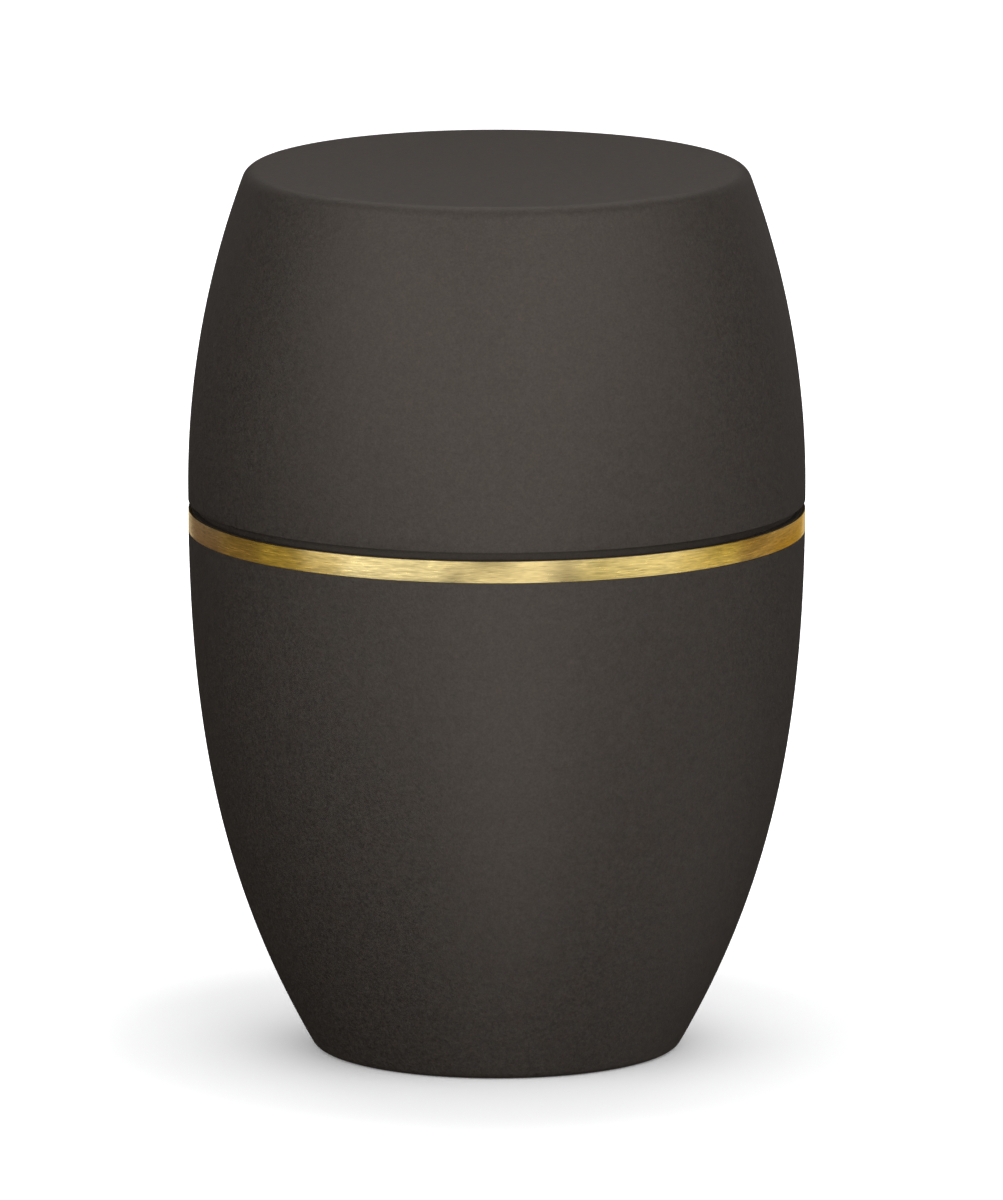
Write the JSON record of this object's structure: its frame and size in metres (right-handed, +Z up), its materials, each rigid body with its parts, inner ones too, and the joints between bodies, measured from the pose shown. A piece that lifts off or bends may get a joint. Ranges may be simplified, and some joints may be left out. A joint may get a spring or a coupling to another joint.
{
  "type": "cremation urn",
  "caption": "Barrel-shaped decorative cremation urn in matt anthracite, with a lift-off upper half over a shadow groove and a narrow brushed-brass band at the vessel's rim.",
  "frame": {"origin": "centre of the underside, on the plane that the foot ring stands on", "axes": "+Z up along the axis of turning; the urn is the same all round, so X and Y are free"},
  "size_m": [0.2, 0.2, 0.29],
  "materials": {
    "coat": "very fine-grained matt lacquer, warm anthracite",
    "brass": "brushed along the band, lacquered"
  },
  "bodies": {
    "root": {"vessel": "coat", "brass_band": "brass", "lid": "coat"}
  },
  "joints": []
}
